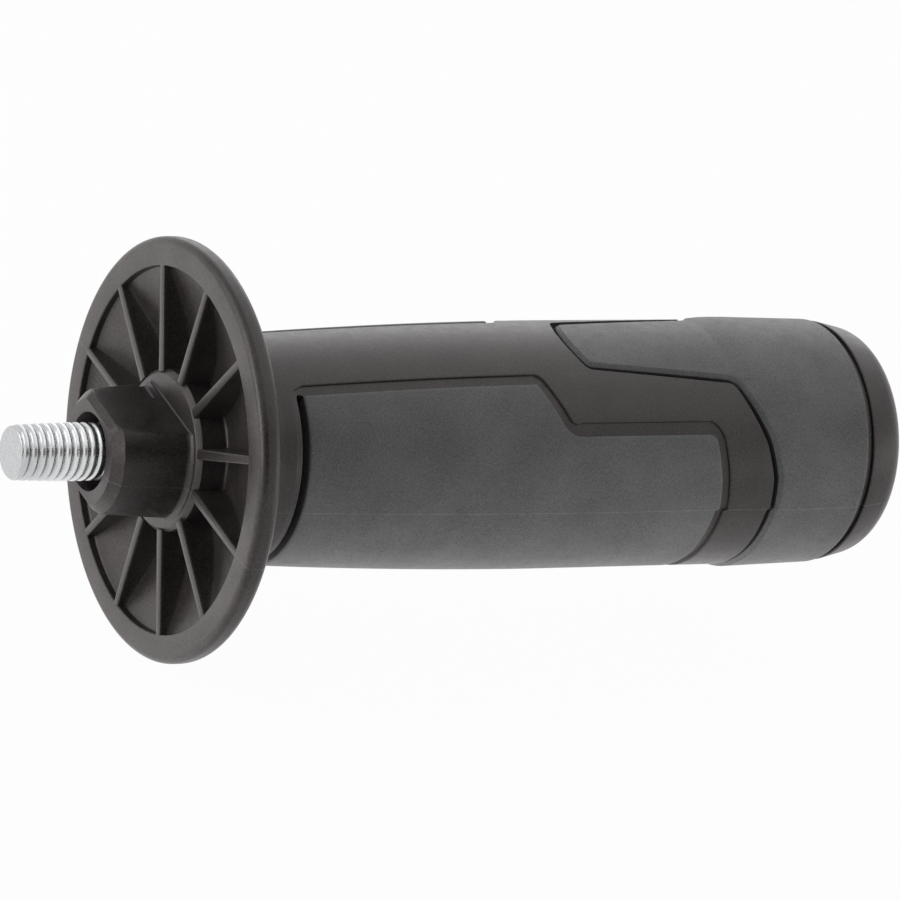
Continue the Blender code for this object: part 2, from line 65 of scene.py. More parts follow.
# Boss
SEAT_HOLE_RADIUS = 5.35
SEAT_HOLE_DEPTH = 6.5
SEAT_HOLE_FLOOR = 4.2
BOSS_RADIUS = 8.45
BOSS_DRAFT = 1.0
BOSS_CHAMFER = 1.2
FLAT_CHAMFER = 0.8
BOSS_EDGE_ROUND = 0.25
BOSS_SHARP_ANGLE = 28.0
BOSS_FLAT = 6.75
FLAT_DRAFT = 0.1
FLAT_FOOT = 0.15
FLAT_TURN = 38.0
COLLAR_FILLET = 0.7
RELIEF_START = 8.0
RELIEF_END = 10.6
RELIEF_OFFSET = 2.6
RELIEF_LEVEL = 5.55
RELIEF_REACH = 12.0
RELIEF_ROUND = 0.3

# Guard flange
FLANGE_FRONT = 11.0
FLANGE_RADIUS = 29.2
RIM_INSIDE = 25.2
RIM_LENGTH = 3.4
RIM_FRONT_ROUND = 1.1
RIM_BACK_ROUND = 1.5
COLLAR_RADIUS = 11.2
COLLAR_CHAMFER = 0.7
RIM_POCKET_DEPTH = 1.1
HUB_POCKET_DEPTH = 4.5
FLANGE_WALL = 2.4
NECK_FILLET = 3.2
RIB_COUNT = 12
RIB_TIP_THICKNESS = 1.2
RIB_ROOT_THICKNESS = 1.45
RIB_OVERLAP = 0.35
RIB_SETBACK = 0.012

# Grip
NECK_RADIUS = 15.85
NECK_END = 21.9
PALM_RADIUS = 17.55
PALM_PLACE = 72.0
PALM_SWELL_POWER = 1.8
HEEL_RADIUS = 17.6
HEEL_PLACE = 100.4
CAP_START = 117.0
CAP_STEP = 0.18
CAP_GROOVE = 1.0
CAP_GROOVE_DEPTH = 0.7
CAP_TAPER = 12.5
CAP_LENGTH = 7.4
CAP_CORNER = 3.8
CAP_CROWN = 1.1
CROWN_EDGE = 7.0
CROWN_EDGE_DROP = 0.25
CORE_CLEARANCE = 0.25

# Soft grips
FIT_GAP = 0.3
SOFT_THICKNESS = 2.0
PANEL_EDGE_ROUND = 0.4
PANEL_EDGE_DROP = 0.25
LIP_RUN = 0.6
LIP_DROP = 0.45
LIP_ROUND = 0.06
PALM_FRONT_GAP = 0.8
PALM_FRONT = 25.5
PALM_FRONT_ROUND = 0.4
PALM_BACK = 92.4
BAND_ANGLE = 27.75
BAND_REAR_ANGLE = 53.3
KINK_FRONT = 62.2
KINK_LENGTH = 4.05
KINK_ROUND = 0.5
KINK_FILLET = 3.2
PALM_BACK_ROUND = 1.4
PALM_BACK_SLANT = 2.15
PALM_SLANT_BEND = 0.8
RING_SLANT = 2.1
RING_SLANT_BEND = 0.5
SLANT_BEND_ANGLE = 74.0
SLANT_ROUND = 8.0
PALM_STEP = 0.7
RING_STEP = 0.45
STEP_RUN = 0.25
LEDGE_BAND_WIDTH = 1.5
LEDGE_REAR_WIDTH = 1.85
LEDGE_SIDE_WIDTH = 1.2
LEDGE_FRONT_WIDTH = 0.8
LEDGE_DEPTH = 0.4
LEDGE_TUCK = 0.2
TONGUE_TIP = 70.2
TONGUE_TIP_SLANT = 1.45
TONGUE_TIP_ANGLE = 18.0
TONGUE_ROOT = 94.9
TONGUE_ROOT_ANGLE = 26.65
TONGUE_ROUND = 0.9
ROOT_FILLET = 2.6
SHOULDER_ANGLE = 56.5
RING_FRONT = 101.5
RING_LIP = 0.36
RING_LIP_RUN = 4.0
RING_TAIL = 0.0
GROOVE_WIDTH = 0.5
GROOVE_DEPTH = 0.85

# How far in from an edge the rows of a soft grip's skin lie, and the longest steps in the rows
PALM_ROWS = (0.0, 0.03, 0.08, 0.16, 0.27, 0.4, 0.8)
LIP_ROWS = (0.0, 0.03, 0.08, 0.32, 0.55, 0.61, 0.7)
ALONG_STEP = 1.5
AROUND_STEP = 0.9

# Meshing: the share of a side that a corner's arc may take, and the steps of a fine polyline
ARC_SHARE = 0.48
FINE_STEP = 0.25

# Camera: a long lens at the photograph's viewing angle, for a frame of 900 by 900
FRAME_PIXELS = 900
FOCAL_PIXELS = 6000.0
CAMERA_DISTANCE = 843.1
CAMERA_TURN = 30.45
CAMERA_ROLL = 0.93
GRIP_ROLL = 56.5
AIM_PLACE = 60.4
AIM_PIXEL = (471.28, 445.3)

# The dim strip that the stud mirrors
CARD_WIDTH = 124.0
CARD_HEIGHT = 70.0
CARD_DISTANCE = 120.0
CARD_PLACE = -14.0

# Ground and daylight: the ground's half size in metres and how far it lies below the flange
GROUND_REACH = 3.0
GROUND_GAP = 0.2
GROUND_GLOW = 0.97
DAYLIGHT = 0.24

# Soft boxes, square and all as far from the grip, in metres,
# as (name, way along the grip, up the picture, towards the camera, watts)
LAMP_SIZE = 0.8
LAMP_DISTANCE = 1.1
LAMPS = (
    ("tip_side_light", -1.0, 0.0, 0.0, 6.5),
    ("back_light", -0.64, 0.0, -0.77, 9.0),
    ("low_back_light", -0.5, -0.61, -0.61, 8.5),
    ("low_light", 0.64, -0.77, 0.0, 6.6),
    ("low_front_light", 0.82, -0.41, 0.41, 2.0),
    ("upper_tip_light", -0.82, 0.57, 0.0, 3.0),
    ("upper_back_light", 0.5, 0.61, -0.61, 1.4),
    ("upper_light", 0.5, 0.87, 0.0, 1.2),
    ("upper_front_light", 0.5, 0.61, 0.61, 1.0),
)


# Small tools

def on_handle(place, radius, turn):
    """A point at this place along the handle, radius and turn from the top."""
    angle = math.radians(turn)
    return (place * MM, radius * math.sin(angle) * MM, radius * math.cos(angle) * MM)


def blend(a, b, share):
    return (a[0] + (b[0] - a[0]) * share, a[1] + (b[1] - a[1]) * share)


def rounded(corners):
    """A polyline whose corners (x, y, radius, pieces) are replaced by tangent arcs."""
    points = []
    for before, here, after in zip([corners[0]] + corners, corners, corners[1:] + [corners[-1]]):
        if len(here) == 2:
            points.append(here)
            continue
        x, y, radius, pieces = here
        run_back = math.hypot(before[0] - x, before[1] - y)
        run_ahead = math.hypot(after[0] - x, after[1] - y)
        back = ((before[0] - x) / run_back, (before[1] - y) / run_back)
        ahead = ((after[0] - x) / run_ahead, (after[1] - y) / run_ahead)
        half = math.acos(max(-1.0, min(1.0, back[0] * ahead[0] + back[1] * ahead[1]))) / 2
        reach = min(radius / math.tan(half), ARC_SHARE * run_back, ARC_SHARE * run_ahead)
        radius = reach * math.tan(half)
        middle = (back[0] + ahead[0], back[1] + ahead[1])
        away = radius / math.sin(half) / math.hypot(*middle)
        cx, cy = (x + middle[0] * away, y + middle[1] * away)
        start = math.atan2(y + back[1] * reach - cy, x + back[0] * reach - cx)
        end = math.atan2(y + ahead[1] * reach - cy, x + ahead[0] * reach - cx)
        turn = (end - start + math.pi) % (2 * math.pi) - math.pi
        for i in range(pieces + 1):
            angle = start + turn * i / pieces
            points.append((cx + radius * math.cos(angle), cy + radius * math.sin(angle)))
    return points


def normals_of(curve):
    """The direction square to the curve, to its left, at each of its points."""
    found = []
    for i in range(len(curve)):
        x0, y0 = curve[max(i - 1, 0)]
        x1, y1 = curve[min(i + 1, len(curve) - 1)]
        length = math.hypot(x1 - x0, y1 - y0)
        found.append((-(y1 - y0) / length, (x1 - x0) / length))
    return found


def edge_sides(curve):
    """normals_of, but straight along the handle where the mould halves' steps lie."""
    found = []
    for (_, y), (nx, ny) in zip(curve, normals_of(curve)):
        if y > arc_of(SLANT_BEND_ANGLE):
            nx, ny = math.copysign(1.0, nx), 0.0
        found.append((nx, ny))
    return found


def grown(curve, amount):
    """The curve moved sideways by amount, to the left of its direction."""
    sides = edge_sides(curve)
    return [(x + nx * amount, y + ny * amount) for (x, y), (nx, ny) in zip(curve, sides)]


def nearest(curve, point):
    """The number of the curve's point that is nearest to a point."""
    return min(range(len(curve)), key=lambda i: math.dist(curve[i], point))


def distance_to(point, curve):
    """The shortest way from a point to a polyline."""
    best = float("inf")
    for (x0, y0), (x1, y1) in zip(curve, curve[1:]):
        dx = x1 - x0
        dy = y1 - y0
        share = ((point[0] - x0) * dx + (point[1] - y0) * dy) / (dx * dx + dy * dy)
        share = max(0.0, min(1.0, share))
        best = min(best, math.hypot(x0 + share * dx - point[0], y0 + share * dy - point[1]))
    return best


def stretch(curve, start, end, count):
    """The part of a polyline between the points nearest to start and end, in count even steps."""
    part = curve[nearest(curve, start):nearest(curve, end) + 1]
    if len(part) == 1:
        return part * (count + 1)
    lengths = [0.0]
    for a, b in zip(part, part[1:]):
        lengths.append(lengths[-1] + math.dist(a, b))
    points = []
    at = 0
    for i in range(count + 1):
        goal = lengths[-1] * i / count
        while at < len(part) - 2 and lengths[at + 1] < goal:
            at += 1
        share = (goal - lengths[at]) / (lengths[at + 1] - lengths[at])
        points.append(blend(part[at], part[at + 1], share))
    return points


def grid_quads(rows):
    """The quads between rows of as many points each."""
    quads = []
    for row, following in zip(rows, rows[1:]):
        for j in range(len(row) - 1):
            quads.append((row[j], row[j + 1], following[j + 1], following[j]))
    return quads


def ring_faces(bm, rings):
    """Faces between rings of as many points each. A ring may repeat one point."""
    for lower, upper in zip(rings, rings[1:]):
        for i in range(len(lower)):
            corners = dict.fromkeys((lower[i - 1], lower[i], upper[i], upper[i - 1]))
            bm.faces.new(list(corners))


def in_scene(name, data):
    """A new object with this data, linked into the scene."""
    made = bpy.data.objects.new(name, data)
    bpy.context.scene.collection.objects.link(made)
    return made


def mesh_object(name, bm, sharp=180.0):
    """Makes an object of the bmesh, with doubles merged, faces outwards and smooth shading."""
    bmesh.ops.remove_doubles(bm, verts=bm.verts, dist=1e-6)
    bmesh.ops.dissolve_degenerate(bm, dist=1e-7, edges=bm.edges)
    bmesh.ops.recalc_face_normals(bm, faces=bm.faces)
    mesh = bpy.data.meshes.new(name)
    bm.to_mesh(mesh)
    bm.free()
    mesh.shade_smooth()
    if sharp < 180.0:
        mesh.set_sharp_from_angle(angle=math.radians(sharp))
    return in_scene(name, mesh)


def turned(name, profile, segments, sharp=180.0):
    """Spins a profile of (place, radius) points round the handle's axis."""
    bm = bmesh.new()
    rings = []
    for place, radius in profile:
        if radius < 1e-6:
            ring = [bm.verts.new(on_handle(place, 0.0, 0.0))] * segments
        else:
            turns = [360.0 * i / segments for i in range(segments)]
            ring = [bm.verts.new(on_handle(place, radius, turn)) for turn in turns]
        rings.append(ring)
    ring_faces(bm, rings)
    return mesh_object(name, bm, sharp)


def plain_mesh(made):
    """Turns what an object's modifiers give into its own mesh."""
    depsgraph = bpy.context.evaluated_depsgraph_get()
    mesh = bpy.data.meshes.new_from_object(made.evaluated_get(depsgraph))
    made.modifiers.clear()
    made.data = mesh
    made.data.name = made.name


# Shape of the grip

def core_radius(place):
    """The black core's own surface, from the neck to the heel."""
    if place <= PALM_PLACE:
        share = max(0.0, (place - NECK_END) / (PALM_PLACE - NECK_END))
        return NECK_RADIUS + (PALM_RADIUS - NECK_RADIUS) * (1 - (1 - share) ** PALM_SWELL_POWER)
    share = min(1.0, (place - PALM_PLACE) / (HEEL_PLACE - PALM_PLACE))
    return PALM_RADIUS + (HEEL_RADIUS - PALM_RADIUS) * share


def sleeve_radius(place):
    """The end sleeve stands proud of the core at its front lip and falls off to the cap."""
    rise = min(1.0, max(0.0, (place - TONGUE_ROOT) / RING_LIP_RUN))
    fall = min(1.0, max(0.0, (place - RING_FRONT) / (CAP_START - RING_FRONT)))
    return core_radius(place) + RING_LIP * rise + (RING_TAIL - RING_LIP) * fall


def edge_drop(x, y, rim, run, depth):
    """How far a rounded edge takes a soft grip down at a point this near to its rim."""
    share = max(0.0, 1.0 - distance_to((x, abs(y)), rim) / run)
    return depth * (1 - math.sqrt(1 - share * share))


def lip_drop(x, y, lip):
    """How far the sleeve's flat chamfer takes it down at a point this near to its front edge."""
    away = distance_to((x, abs(y)), lip)
    chamfer = LIP_DROP * max(0.0, 1 - away / LIP_RUN)
    return chamfer + LIP_ROUND * max(0.0, 1 - away / LIP_ROUND) ** 2


def arc_of(turn):
    return math.radians(turn) * PALM_RADIUS


def turn_at(x, y):
    """The turn of an unrolled point. The band keeps its width where the grip is slimmer."""
    angle = y / PALM_RADIUS
    slimmer = PALM_RADIUS / core_radius(x) - 1
    return math.degrees(angle * (1 + slimmer * (1 - (angle / math.pi) ** 2)))


def wrapped(points, radius_at):
    """Rolls unrolled points (place, arc from the top) onto the handle."""
    return [on_handle(x, radius_at(x, y), turn_at(x, y)) for x, y in points]


def palm_edge():
    """The palm pad's half outline: its front, the band, the kink, the rear corner, its back."""
    front = arc_of(BAND_ANGLE)
    rear = arc_of(BAND_REAR_ANGLE)
    return rounded([
        (PALM_FRONT, arc_of(180.0)),
        (PALM_FRONT, front, PALM_FRONT_ROUND, 6),
        (KINK_FRONT, front, KINK_ROUND, 8),
        (KINK_FRONT + KINK_LENGTH, rear, KINK_FILLET, 8),
        (PALM_BACK - PALM_BACK_SLANT, rear, PALM_BACK_ROUND, 8),
        (PALM_BACK - PALM_SLANT_BEND, arc_of(SLANT_BEND_ANGLE), SLANT_ROUND, 6),
        (PALM_BACK, arc_of(90.0)),
        (PALM_BACK - PALM_STEP, arc_of(90.0) + STEP_RUN),
        (PALM_BACK - PALM_STEP, arc_of(180.0)),
    ])


def sleeve_edge():
    """The end sleeve's half outline, from the tongue's tip to the ring's underside."""
    half = arc_of(TONGUE_TIP_ANGLE)
    bow = [(TONGUE_TIP + TONGUE_TIP_SLANT * (i / 5) ** 2, half * i / 5) for i in range(5)]
    return rounded(bow + [
        (TONGUE_TIP + TONGUE_TIP_SLANT, half, TONGUE_ROUND, 8),
        (TONGUE_ROOT, arc_of(TONGUE_ROOT_ANGLE), ROOT_FILLET, 8),
        (RING_FRONT - RING_SLANT, arc_of(SHOULDER_ANGLE), SLANT_ROUND, 8),
        (RING_FRONT - RING_SLANT_BEND, arc_of(SLANT_BEND_ANGLE), SLANT_ROUND, 6),
        (RING_FRONT, arc_of(90.0)),
        (RING_FRONT - RING_STEP, arc_of(90.0) + STEP_RUN),
        (RING_FRONT - RING_STEP, arc_of(180.0)),
    ])


# The black moulding

def mirrored_strip(bm, rows):
    """Quads between rows of (x, y, z) points, once as they are and once mirrored across XZ."""
    for side in (1.0, -1.0):
        made = [[bm.verts.new((x, y * side, z)) for x, y, z in row] for row in rows]
        for quad in grid_quads(made):
            bm.faces.new(quad)


def subdivided(curve):
    """The curve with a point at least at every fine step."""
    points = []
    for a, b in zip(curve, curve[1:]):
        steps = math.ceil(math.dist(a, b) / FINE_STEP)
        points += [blend(a, b, k / steps) for k in range(steps)]
    return points + [curve[-1]]


def ledge_section(x, nx, ny):
    """The black beside the palm pad as (distance out, depth), where its edge at x faces (nx, ny).

    A flat ledge ends in a steep wall. Only along the pad's front does a deep gap lie before it.
    """
    # 1 where the edge faces the flange, 0 along the band and the sides
    front = min(1.0, max(0.0, (nx - 0.25) / 0.6))
    widest = LEDGE_BAND_WIDTH if x < KINK_FRONT + KINK_LENGTH / 2 else LEDGE_REAR_WIDTH
    width = LEDGE_SIDE_WIDTH + (widest - LEDGE_SIDE_WIDTH) * max(0.0, ny) ** 6
    wall = width + (PALM_FRONT_GAP + LEDGE_FRONT_WIDTH - width) * front
    gap = -LEDGE_TUCK + (PALM_FRONT_GAP + LEDGE_TUCK) * front
    return (
        (gap, LEDGE_DEPTH + (SOFT_THICKNESS + FIT_GAP - LEDGE_DEPTH) * front),
        (gap, LEDGE_DEPTH + 0.12 * front),
        (gap + 0.05, LEDGE_DEPTH + 0.03 * front),
        (gap + 0.14, LEDGE_DEPTH),
        (wall - 0.13, LEDGE_DEPTH),
        (wall - 0.05, LEDGE_DEPTH - 0.02),
        (wall - 0.01, LEDGE_DEPTH - 0.08),
        (wall + 0.02, 0.12),
        (wall + 0.06, 0.05),
        (wall + 0.13, 0.01),
        (wall + 0.26, 0.0),
    )


def on_core(x, y, depth):
    """An unrolled point on the handle, this deep below the core's own surface."""
    return on_handle(x, core_radius(x) - depth, turn_at(x, y))


def make_grip_core():
    """The black band, loop and neck ring, with the ledges and walls of both soft-grip seats."""
    palm = palm_edge()
    under = arc_of(180.0)
    front = arc_of(BAND_ANGLE)
    rear = arc_of(BAND_REAR_ANGLE)
    side = arc_of(90.0)
    tip = TONGUE_TIP - FIT_GAP - GROOVE_WIDTH
    corner = PALM_BACK - PALM_BACK_SLANT
    back = PALM_BACK - PALM_STEP
    ring = RING_FRONT - RING_STEP
    beside_sleeve = grown(sleeve_edge(), FIT_GAP + GROOVE_WIDTH)
    fine_palm = subdivided(palm)
    fine_far = subdivided([(NECK_END, under), (NECK_END, 0.0), (tip, 0.0)])
    fine_edge = subdivided([(tip, 0.0)] + [(x, y) for x, y in beside_sleeve if y > 0.0])
    # Marks on the palm pad's edge, the marks they face across the black, and the steps between
    at_tip = ((KINK_FRONT + KINK_LENGTH + 1.6, rear), (tip, 0.0), 18)
    before_tip = [
        ((PALM_FRONT, under), (NECK_END, under), 120),
        ((PALM_FRONT, front + 0.6), (NECK_END, front + 3.0), 18),
        ((PALM_FRONT + 0.6, front), (PALM_FRONT, 0.0), 24),
        ((KINK_FRONT - 0.6, front), (KINK_FRONT - 1.5, 0.0), 18),
        ((KINK_FRONT + 0.4, front + 0.6), (KINK_FRONT, 0.0), 24),
        at_tip,
    ]
    behind_tip = [
        at_tip,
        ((TONGUE_TIP + 2.6, rear), (TONGUE_TIP + 1.6, arc_of(19.5)), 14),
        ((corner - 1.8, rear), (TONGUE_ROOT - 3.0, arc_of(26.3)), 24),
        ((corner + 0.4, rear + 2.2), (TONGUE_ROOT + 1.6, arc_of(35.0)), 36),
        ((PALM_BACK, side - 0.4), (RING_FRONT, side - 0.4), 14),
        ((back, side + 0.7), (ring, side + 0.7), 70),
        ((back, under), (ring, under), 0),
    ]
    near_line = []
    far_line = []
    for far_curve, marks in ((fine_far, before_tip), (fine_edge, behind_tip)):
        joined = len(near_line)
        for (a, c, count), (b, d, _) in zip(marks, marks[1:]):
            near_line += stretch(fine_palm, a, b, count)[:-1]
            far_line += stretch(far_curve, c, d, count)[:-1]
    near_line.append(palm[-1])
    far_line.append((far_line[-1][0], under))
    groove_section = (
        (0.0, 0.0),
        (0.04, GROOVE_DEPTH * 0.85),
        (0.09, GROOVE_DEPTH),
        (GROOVE_WIDTH - 0.03, GROOVE_DEPTH),
        (GROOVE_WIDTH, GROOVE_DEPTH + 0.03),
        (GROOVE_WIDTH, SOFT_THICKNESS + FIT_GAP),
    )
    rows = []
    for (x, y), (nx, ny), far in zip(near_line, edge_sides(near_line), far_line):
        row = []
        for out, depth in ledge_section(x, nx, ny):
            outer = (x - nx * out, y - ny * out)
            row.append(on_core(*outer, depth))
        rows.append(row + [on_core(*blend(outer, far, k / 10), 0.0) for k in range(1, 11)])
    far_line = far_line[joined:]
    groove = []
    for (x, y), (nx, ny) in zip(far_line, edge_sides(far_line)):
        groove.append([on_core(x - nx * way, y - ny * way, depth) for way, depth in groove_section])
    bm = bmesh.new()
    mirrored_strip(bm, rows)
    mirrored_strip(bm, groove)
    return mesh_object("grip_core", bm, 40.0)


def make_core_floor():
    """The black core that the soft grips lie on, seen only in their gaps."""
    deep = SOFT_THICKNESS + CORE_CLEARANCE
    profile = [(NECK_END + 0.5, 0.0), (NECK_END + 0.5, core_radius(NECK_END) - deep)]
    for i in range(13):
        place = NECK_END + 1.0 + (CAP_START - 3.0 - NECK_END) * i / 12
        profile.append((place, core_radius(place) - deep))
    step = CAP_START - CAP_GROOVE - 0.4
    bottom = HEEL_RADIUS - CAP_GROOVE_DEPTH
    profile += [(step, profile[-1][1]), (step, bottom), (CAP_START, bottom), (CAP_START, 0.0)]
    return turned("core_floor", profile, 180, 40.0)


def make_end_cap():
    """The rounded end, whose shallow crown is drawn from the shoulder's arc to the axis."""
    end = CAP_START + CAP_LENGTH
    shoulder = end - CAP_CROWN
    drop = math.tan(math.radians(CAP_TAPER)) * (shoulder - CAP_START)
    start = HEEL_RADIUS - CAP_STEP
    profile = rounded([
        (CAP_START, HEEL_RADIUS - CAP_GROOVE_DEPTH - 0.1),
        (CAP_START, start, 0.2, 4),
        (shoulder, start - drop, CAP_CORNER, 16),
        (end - CROWN_EDGE_DROP, CROWN_EDGE),
    ])[:-1]
    x0, r0 = profile[-1]
    for i in range(1, 8):
        share = i / 8
        profile.append((x0 + (end - x0) * (1 - (1 - share) ** 2), r0 * (1 - share)))
    return turned("end_cap", profile + [(end, 0.0)], 180)


def pocket_floor(radius):
    """The place of the dished floor between the collar and the rim."""
    share = (RIM_INSIDE - radius) / (RIM_INSIDE - COLLAR_RADIUS)
    dish = (HUB_POCKET_DEPTH - RIM_POCKET_DEPTH) * math.sin(share * math.pi / 2)
    return FLANGE_FRONT + RIM_POCKET_DEPTH + dish


def make_flange():
    """Rim, dished floor, collar and neck in one turned piece."""
    hub = FLANGE_FRONT + HUB_POCKET_DEPTH + FLANGE_WALL
    floor = []
    for i in range(1, 15):
        radius = COLLAR_RADIUS + (RIM_INSIDE - COLLAR_RADIUS) * i / 15
        floor.append((pocket_floor(radius), radius))
    corners = [
        (FLANGE_FRONT, SEAT_HOLE_RADIUS + 1.5),
        (FLANGE_FRONT, COLLAR_RADIUS - COLLAR_CHAMFER, 0.2, 3),
        (FLANGE_FRONT + COLLAR_CHAMFER, COLLAR_RADIUS, 0.2, 3),
        (FLANGE_FRONT + HUB_POCKET_DEPTH, COLLAR_RADIUS, 0.5, 4),
    ]
    corners += floor
    corners += [
        (FLANGE_FRONT + RIM_POCKET_DEPTH, RIM_INSIDE, 0.3, 3),
        (FLANGE_FRONT, RIM_INSIDE, 0.22, 4),
        (FLANGE_FRONT, FLANGE_RADIUS, RIM_FRONT_ROUND, 12),
        (FLANGE_FRONT + RIM_LENGTH, FLANGE_RADIUS, RIM_BACK_ROUND, 12),
        (FLANGE_FRONT + RIM_LENGTH, RIM_INSIDE, 0.8, 4),
        (hub, NECK_RADIUS, NECK_FILLET, 12),
        (NECK_END, NECK_RADIUS),
    ]
    return turned("guard_flange", rounded(corners), 240)


def boss_round(place):
    """The boss's round radius, with the front chamfer and the fillet at the collar."""
    radius = BOSS_RADIUS + BOSS_DRAFT * place / FLANGE_FRONT
    into = place - (FLANGE_FRONT - COLLAR_FILLET)
    if into > 0.0:
        radius += COLLAR_FILLET - math.sqrt(max(0.0, COLLAR_FILLET ** 2 - into ** 2))
    return min(radius, BOSS_RADIUS - BOSS_CHAMFER + place)


def boss_flat(place):
    """The flats' distance from the axis, with their chamfer and their sloped foot."""
    flat = BOSS_FLAT + FLAT_DRAFT * place / FLANGE_FRONT
    flat += max(0.0, place - (FLANGE_FRONT - FLAT_FOOT))
    return min(flat, BOSS_FLAT - FLAT_CHAMFER + place)


def make_boss():
    """The boss with its two flats and seat hole, and the small relief beside the collar."""
    stations = [0.0, 0.06, 0.15, 0.5, 0.74, 0.8, 0.9, 1.1, 1.24, 1.32, 1.42, 1.7]
    stations += [2.0 + 0.9 * i for i in range(9)]
    stations += [9.7, 9.9, 10.0, 10.08, 10.2, 10.4, 10.6, 10.8, 10.95, 11.05]
    levels = [
        (SEAT_HOLE_DEPTH, SEAT_HOLE_FLOOR, None),
        (SEAT_HOLE_DEPTH, SEAT_HOLE_RADIUS - 0.1, None),
        (SEAT_HOLE_DEPTH - 0.1, SEAT_HOLE_RADIUS, None),
        (0.2, SEAT_HOLE_RADIUS, None),
        (0.05, SEAT_HOLE_RADIUS + 0.06, None),
        (0.0, SEAT_HOLE_RADIUS + 0.2, None),
    ]
    levels += [(place, boss_round(place), boss_flat(place)) for place in stations]
    quarter = [0.0, 0.25, 0.5, 0.7, 0.85, 0.93, 0.98, 1.0]
    bm = bmesh.new()
    rings = []
    for place, radius, flat in levels:
        # The turn at which the flat meets the round. Levels without one keep a like spacing.
        corner = math.degrees(math.acos(flat / radius)) if flat and flat < radius else FLAT_TURN
        turns = [corner * share for share in quarter]
        turns += [corner + (90.0 - corner) * (1 - share) for share in quarter[-2::-1]]
        turns += [180.0 - turn for turn in turns[-2::-1]]
        turns += [180.0 + turn for turn in turns[1:-1]]
        ring = []
        for turn in turns:
            here = radius
            cosine = abs(math.cos(math.radians(turn)))
            if flat and cosine > 1e-6:
                other = flat / cosine
                here = min(radius, other) - max(0.0, BOSS_EDGE_ROUND - abs(other - radius)) ** 2
            ring.append(bm.verts.new(on_handle(place, here, turn)))
        rings.append(ring)
    ring_faces(bm, rings)
    bm.faces.new(rings[0])
    bm.faces.new(rings[-1])
    boss = mesh_object("boss", bm, BOSS_SHARP_ANGLE)
    block = bmesh.new()
    bmesh.ops.create_cube(block, size=1.0)
    for vert in block.verts:
        vert.co.x = (RELIEF_START if vert.co.x < 0 else RELIEF_END) * MM
        vert.co.y = (RELIEF_OFFSET if vert.co.y < 0 else RELIEF_REACH) * MM
        vert.co.z = (RELIEF_LEVEL if vert.co.z < 0 else RELIEF_REACH) * MM
    level = RELIEF_LEVEL * MM
    low = [e for e in block.edges if all(abs(v.co.z - level) < 1e-6 for v in e.verts)]
    bmesh.ops.bevel(
        block, geom=low, offset=RELIEF_ROUND * MM, segments=3, profile=0.5, affect="EDGES"
    )
    cutter = mesh_object("relief_cutter", block)
    boolean = boss.modifiers.new("relief", "BOOLEAN")
    boolean.operation = "DIFFERENCE"
    boolean.solver = "EXACT"
    boolean.object = cutter
    plain_mesh(boss)
    bpy.data.objects.remove(cutter)
    boss.data.shade_smooth()
    boss.data.set_sharp_from_angle(angle=math.radians(BOSS_SHARP_ANGLE))
    return boss


# Soft grips

def refined(curve, marks):
    """The curve in even short pieces, and where the points at marks now lie in it."""
    points = []
    placed = []
    for i, (a, b) in enumerate(zip(curve, curve[1:])):
        if i in marks:
            placed.append(len(points))
        step = ALONG_STEP if abs(b[0] - a[0]) > abs(b[1] - a[1]) else AROUND_STEP
        pieces = math.ceil(math.dist(a, b) / step - 1e-6)
        points += [blend(a, b, k / pieces) for k in range(pieces)]
    return points + [curve[-1]], placed


def corner_rows(edge, sides, corner, fine):
    """Rows of points for a patch whose border runs along edge to a corner, then on to its foot."""
    depth = len(fine)
    foot = edge[-1][1]
    start = edge[corner + depth - 1][1]
    rows = []
    for i in range(corner + 1):
        away = corner - i
        row = []
        for j in range(len(edge) - corner):
            x, y = edge[i]
            inset = fine[min(j, depth - 1)] / sides[i][1]
            if j == away < depth:
                x, y = edge[corner]
                x += sides[corner][0] * fine[j]
                y += sides[corner][1] * fine[j]
            elif away < min(j, depth):
                x, y = edge[corner + j]
                x += fine[away] / sides[corner + j][0]
            elif j < depth:
                y += inset
            else:
                share = (edge[corner + j][1] - start) / (foot - start)
                y = y + inset + (foot - y - inset) * share
            row.append((x, y))
        rows.append(row)
    return rows


def numbered(points, row):
    """Adds a row to the points and gives its points' numbers."""
    start = len(points)
    points += row
    return list(range(start, len(points)))


def corner_rounded(point):
    """Moves the points of the palm pad's square front corner onto its arc."""
    x, y = point
    u = PALM_FRONT_ROUND - (x - PALM_FRONT)
    v = PALM_FRONT_ROUND - (abs(y) - arc_of(BAND_ANGLE))
    if u <= 0.0 or v <= 0.0:
        return point
    twice = 2 * PALM_FRONT_ROUND ** 2
    moved_x = PALM_FRONT + PALM_FRONT_ROUND - u * math.sqrt(1 - v * v / twice)
    moved_y = arc_of(BAND_ANGLE) + PALM_FRONT_ROUND - v * math.sqrt(1 - u * u / twice)
    return (moved_x, math.copysign(moved_y, y))


def palm_skin():
    """The palm pad's unrolled points and the quads between them."""
    curve = palm_edge()
    front = arc_of(BAND_ANGLE)
    after = nearest(curve, (PALM_FRONT + PALM_FRONT_ROUND, front)) + 1
    curve = [(PALM_FRONT + inset, front) for inset in PALM_ROWS] + curve[after:]
    mark = nearest(curve, (PALM_BACK - PALM_BACK_SLANT, arc_of(BAND_REAR_ANGLE)))
    edge, (corner,) = refined(curve, [mark])
    rows = corner_rows(edge, edge_sides(edge), corner, PALM_ROWS)
    points = []
    names = [numbered(points, [(x, -y) for x, y in row] + row[-2::-1]) for row in rows]
    return [corner_rounded(point) for point in points], grid_quads(names)


